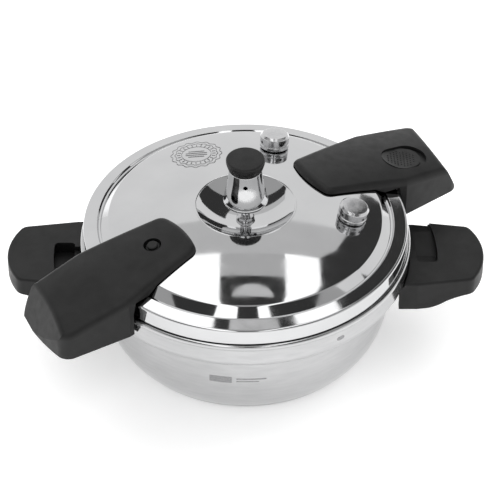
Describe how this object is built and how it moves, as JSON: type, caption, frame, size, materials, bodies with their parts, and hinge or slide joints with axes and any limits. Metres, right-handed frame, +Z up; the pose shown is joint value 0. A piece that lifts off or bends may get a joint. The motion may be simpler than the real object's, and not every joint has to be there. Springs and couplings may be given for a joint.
{
  "type": "stovetop pressure cooker",
  "caption": "Low stainless pressure cooker with a bayonet lid, black ear handles, a sliding lid lock, a lift-off regulating weight and spring safety valves.",
  "frame": {"origin": "centre of the base's underside", "axes": "+Z up, the two pot handles along X, the lid's locking handle turned 34 degrees from +X towards +Y"},
  "size_m": [0.324, 0.2236, 0.1475],
  "materials": {
    "polished_steel": "mirror polished stainless steel",
    "satin_steel": "turned or pressed stainless steel",
    "aluminium_core": "rolled aluminium",
    "black_bakelite": "satin phenolic moulding with fine grain",
    "black_slider": "satin moulding",
    "black_cap": "satin moulding",
    "grey_silicone": "translucent grey silicone",
    "spring_steel": "drawn spring wire"
  },
  "bodies": {
    "pot": {"pot_body": "polished_steel", "base_cap": "polished_steel", "base_core": "aluminium_core", "pot_handle_right": "black_bakelite", "pot_handle_left": "black_bakelite", "pot_bracket_right": "satin_steel", "pot_bracket_left": "satin_steel", "pot_handle_screws": "satin_steel"},
    "sealing_ring": {"sealing_ring": "grey_silicone"},
    "lid": {"lid_shell": "polished_steel", "lid_handle_lock": "black_bakelite", "lid_handle_float": "black_bakelite", "lid_bracket_lock": "satin_steel", "lid_bracket_float": "satin_steel", "lid_handle_screws": "satin_steel", "vent_pipe": "satin_steel", "vent_washer": "grey_silicone", "vent_nut": "satin_steel", "vent_filter": "satin_steel", "float_guide": "black_cap", "float_nut": "satin_steel", "valve_seat_back": "satin_steel", "valve_cap_back": "polished_steel", "valve_spring_back": "spring_steel", "valve_washer_back": "grey_silicone", "valve_seat_front": "satin_steel", "valve_cap_front": "polished_steel", "valve_spring_front": "spring_steel", "valve_washer_front": "grey_silicone"},
    "weight": {"weight_body": "polished_steel", "weight_cap": "black_cap", "weight_needle": "satin_steel"},
    "float": {"float_pin": "black_cap", "float_seal": "grey_silicone"},
    "lock": {"lock_slider": "black_slider", "lock_bolt": "satin_steel"},
    "plunger_back": {"valve_plunger_back": "satin_steel"},
    "plunger_front": {"valve_plunger_front": "satin_steel"}
  },
  "joints": [
    {"name": "lid_lift", "type": "slide", "parent": "pot", "child": "sealing_ring", "axis": [0, 0, 1], "range_m": [0, 0.12]},
    {"name": "lid_turn", "type": "hinge", "parent": "sealing_ring", "child": "lid", "pos_m": [0, 0, 0.0925], "axis": [0, 0, 1], "range_deg": [-34, 0]},
    {"name": "weight_lift", "type": "slide", "parent": "lid", "child": "weight", "axis": [0, 0, 1], "range_m": [0, 0.04]},
    {"name": "float_rise", "type": "slide", "parent": "lid", "child": "float", "axis": [-0.1649, -0.1112, 0.98], "range_m": [0, 0.004]},
    {"name": "lock_slide", "type": "slide", "parent": "lid", "child": "lock", "axis": [0.829, 0.5592, 0], "range_m": [0, 0.005]},
    {"name": "safety_valve_back", "type": "slide", "parent": "lid", "child": "plunger_back", "axis": [0.0537, 0.1873, 0.9808], "range_m": [0, 0.0015], "stiffness_N_per_m": 2000, "springref_m": -0.002, "deforming": ["valve_spring_back"]},
    {"name": "safety_valve_front", "type": "slide", "parent": "lid", "child": "plunger_front", "axis": [0.1938, -0.0204, 0.9808], "range_m": [0, 0.0015], "stiffness_N_per_m": 2000, "springref_m": -0.002, "deforming": ["valve_spring_front"]}
  ]
}
